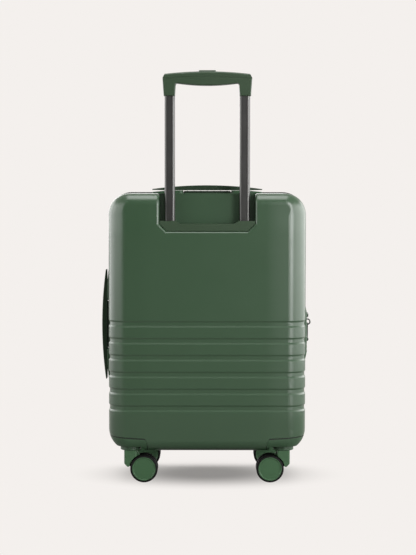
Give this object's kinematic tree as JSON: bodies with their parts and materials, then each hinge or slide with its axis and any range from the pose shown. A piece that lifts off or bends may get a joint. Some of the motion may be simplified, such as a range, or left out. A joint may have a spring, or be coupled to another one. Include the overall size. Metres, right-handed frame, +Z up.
{
  "type": "hard shell suitcase",
  "caption": "Upright hard shell cabin suitcase with a telescoping trolley handle, carry handles, a zip lock and swivelling twin-wheel casters.",
  "frame": {"origin": "on the floor under the middle of the upright case", "axes": "+Z up, -Y towards the trolley side (back), +X towards the lock side"},
  "size_m": [0.395, 0.23, 0.7607],
  "materials": {
    "shell": "satin",
    "corner_plastic": "satin",
    "fork_plastic": "satin",
    "hub_plastic": "satin",
    "tyre_rubber": "matte",
    "grip_plastic": "satin",
    "button_plastic": "satin",
    "trim_plastic": "satin",
    "handle_rubber": "matte",
    "plate_plastic": "matte",
    "dark_tube": "satin anodised",
    "bare_tube": "satin",
    "steel": "zinc plated",
    "lining_cloth": "woven",
    "divider_cloth": "woven",
    "webbing": "woven",
    "black_plastic": "matte",
    "zip_tape": "woven",
    "slider_metal": "satin",
    "pull_rubber": "matte",
    "dial_plastic": "satin"
  },
  "bodies": {
    "case": {"back_shell": "shell", "back_lining": "lining_cloth", "packing_straps": "webbing", "strap_buckle": "black_plastic", "case_zip_tape": "zip_tape", "back_corner_left": "corner_plastic", "back_corner_right": "corner_plastic", "back_kingpins": "steel", "handle_plates": "plate_plastic", "plate_screws": "steel", "lock_body": "trim_plastic", "pocket_bezel": "trim_plastic", "outer_tubes": "bare_tube", "tube_feet": "black_plastic"},
    "lid": {"front_shell": "shell", "front_lining": "lining_cloth", "divider_panel": "divider_cloth", "lid_zip_tape": "zip_tape", "front_corner_left": "corner_plastic", "front_corner_right": "corner_plastic", "front_kingpins": "steel"},
    "top_handle": {"top_handle": "handle_rubber"},
    "side_handle": {"side_handle": "handle_rubber"},
    "middle_stage": {"middle_tubes": "dark_tube"},
    "grip_stage": {"inner_tubes": "bare_tube", "inner_plugs": "black_plastic", "grip_body": "grip_plastic", "grip_cover": "grip_plastic"},
    "button": {"grip_button": "button_plastic", "push_bar": "steel"},
    "latch_left": {"latch_left": "steel"},
    "latch_right": {"latch_right": "steel"},
    "dial_1": {"lock_dial_1": "dial_plastic"},
    "dial_2": {"lock_dial_2": "dial_plastic"},
    "dial_3": {"lock_dial_3": "dial_plastic"},
    "lock_button": {"lock_button": "button_plastic"},
    "slider_upper": {"zip_slider_upper": "slider_metal"},
    "pull_upper": {"zip_pull_upper": "pull_rubber"},
    "slider_lower": {"zip_slider_lower": "slider_metal"},
    "pull_lower": {"zip_pull_lower": "pull_rubber"},
    "fork_back_left": {"fork_back_left": "fork_plastic"},
    "wheel_back_left_outer": {"tyre_back_left_outer": "tyre_rubber", "hub_back_left_outer": "hub_plastic"},
    "wheel_back_left_inner": {"tyre_back_left_inner": "tyre_rubber", "hub_back_left_inner": "hub_plastic"},
    "fork_back_right": {"fork_back_right": "fork_plastic"},
    "wheel_back_right_outer": {"tyre_back_right_outer": "tyre_rubber", "hub_back_right_outer": "hub_plastic"},
    "wheel_back_right_inner": {"tyre_back_right_inner": "tyre_rubber", "hub_back_right_inner": "hub_plastic"},
    "fork_front_left": {"fork_front_left": "fork_plastic"},
    "wheel_front_left_outer": {"tyre_front_left_outer": "tyre_rubber", "hub_front_left_outer": "hub_plastic"},
    "wheel_front_left_inner": {"tyre_front_left_inner": "tyre_rubber", "hub_front_left_inner": "hub_plastic"},
    "fork_front_right": {"fork_front_right": "fork_plastic"},
    "wheel_front_right_outer": {"tyre_front_right_outer": "tyre_rubber", "hub_front_right_outer": "hub_plastic"},
    "wheel_front_right_inner": {"tyre_front_right_inner": "tyre_rubber", "hub_front_right_inner": "hub_plastic"}
  },
  "joints": [
    {"name": "lid_hinge", "type": "hinge", "parent": "case", "child": "lid", "pos_m": [-0.198, 0, 0.298], "axis": [0, 0, 1], "range_deg": [0, 180]},
    {"name": "trolley_lower_stage", "type": "slide", "parent": "case", "child": "middle_stage", "axis": [0, 0, 1], "range_m": [-0.228, 0]},
    {"name": "trolley_upper_stage", "type": "slide", "parent": "middle_stage", "child": "grip_stage", "axis": [0, 0, 1], "range_m": [0, 0.228]},
    {"name": "grip_button_press", "type": "slide", "parent": "grip_stage", "child": "button", "axis": [0, 0, 1], "range_m": [-0.004, 0], "stiffness_N_per_m": 1500, "springref_m": 0.002},
    {"name": "latch_left_draw", "type": "slide", "parent": "grip_stage", "child": "latch_left", "axis": [1, 0, 0], "range_m": [0, 0.003]},
    {"name": "latch_right_draw", "type": "slide", "parent": "grip_stage", "child": "latch_right", "axis": [-1, 0, 0], "range_m": [0, 0.003]},
    {"name": "top_handle_lift", "type": "slide", "parent": "case", "child": "top_handle", "axis": [0, 0, 1], "range_m": [0, 0.012], "stiffness_N_per_m": 200, "springref_m": -0.004},
    {"name": "side_handle_lift", "type": "slide", "parent": "case", "child": "side_handle", "axis": [-1, 0, 0], "range_m": [0, 0.012], "stiffness_N_per_m": 200, "springref_m": -0.004},
    {"name": "dial_1_turn", "type": "hinge", "parent": "case", "child": "dial_1", "pos_m": [0.1821, -0.024, 0.238], "axis": [0, 0, 1], "continuous": true},
    {"name": "dial_2_turn", "type": "hinge", "parent": "case", "child": "dial_2", "pos_m": [0.1821, -0.024, 0.246], "axis": [0, 0, 1], "continuous": true},
    {"name": "dial_3_turn", "type": "hinge", "parent": "case", "child": "dial_3", "pos_m": [0.1821, -0.024, 0.254], "axis": [0, 0, 1], "continuous": true},
    {"name": "lock_button_slide", "type": "slide", "parent": "case", "child": "lock_button", "axis": [0, 0, -1], "range_m": [0, 0.003], "stiffness_N_per_m": 300, "springref_m": -0.001},
    {"name": "zip_upper_run", "type": "slide", "parent": "case", "child": "slider_upper", "axis": [0, 0, 1], "range_m": [0, 0.18]},
    {"name": "zip_lower_run", "type": "slide", "parent": "case", "child": "slider_lower", "axis": [0, 0, 1], "range_m": [-0.18, 0]},
    {"name": "zip_upper_pull", "type": "hinge", "parent": "slider_upper", "child": "pull_upper", "pos_m": [0.1906, 0, 0.3045], "axis": [0, 0, 1], "range_deg": [0, 100]},
    {"name": "zip_lower_pull", "type": "hinge", "parent": "slider_lower", "child": "pull_lower", "pos_m": [0.1911, 0, 0.2864], "axis": [1, 0, 0], "range_deg": [-100, 100]},
    {"name": "swivel_back_left", "type": "hinge", "parent": "case", "child": "fork_back_left", "pos_m": [-0.142, -0.083, 0.0525], "axis": [0, 0, 1], "continuous": true},
    {"name": "spin_back_left_outer", "type": "hinge", "parent": "fork_back_left", "child": "wheel_back_left_outer", "pos_m": [-0.117, -0.0943, 0.0256], "axis": [0, 1, 0], "continuous": true},
    {"name": "spin_back_left_inner", "type": "hinge", "parent": "fork_back_left", "child": "wheel_back_left_inner", "pos_m": [-0.117, -0.0717, 0.0256], "axis": [0, 1, 0], "continuous": true},
    {"name": "swivel_back_right", "type": "hinge", "parent": "case", "child": "fork_back_right", "pos_m": [0.142, -0.083, 0.0525], "axis": [0, 0, 1], "continuous": true},
    {"name": "spin_back_right_outer", "type": "hinge", "parent": "fork_back_right", "child": "wheel_back_right_outer", "pos_m": [0.117, -0.0943, 0.0256], "axis": [0, 1, 0], "continuous": true},
    {"name": "spin_back_right_inner", "type": "hinge", "parent": "fork_back_right", "child": "wheel_back_right_inner", "pos_m": [0.117, -0.0717, 0.0256], "axis": [0, 1, 0], "continuous": true},
    {"name": "swivel_front_left", "type": "hinge", "parent": "lid", "child": "fork_front_left", "pos_m": [-0.142, 0.083, 0.0525], "axis": [0, 0, 1], "continuous": true},
    {"name": "spin_front_left_outer", "type": "hinge", "parent": "fork_front_left", "child": "wheel_front_left_outer", "pos_m": [-0.117, 0.0943, 0.0256], "axis": [0, 1, 0], "continuous": true},
    {"name": "spin_front_left_inner", "type": "hinge", "parent": "fork_front_left", "child": "wheel_front_left_inner", "pos_m": [-0.117, 0.0717, 0.0256], "axis": [0, 1, 0], "continuous": true},
    {"name": "swivel_front_right", "type": "hinge", "parent": "lid", "child": "fork_front_right", "pos_m": [0.142, 0.083, 0.0525], "axis": [0, 0, 1], "continuous": true},
    {"name": "spin_front_right_outer", "type": "hinge", "parent": "fork_front_right", "child": "wheel_front_right_outer", "pos_m": [0.117, 0.0943, 0.0256], "axis": [0, 1, 0], "continuous": true},
    {"name": "spin_front_right_inner", "type": "hinge", "parent": "fork_front_right", "child": "wheel_front_right_inner", "pos_m": [0.117, 0.0717, 0.0256], "axis": [0, 1, 0], "continuous": true}
  ],
  "couplings": [
    {"joint": "latch_left_draw", "follows": "grip_button_press", "ratio": -0.75},
    {"joint": "latch_right_draw", "follows": "grip_button_press", "ratio": -0.75}
  ]
}
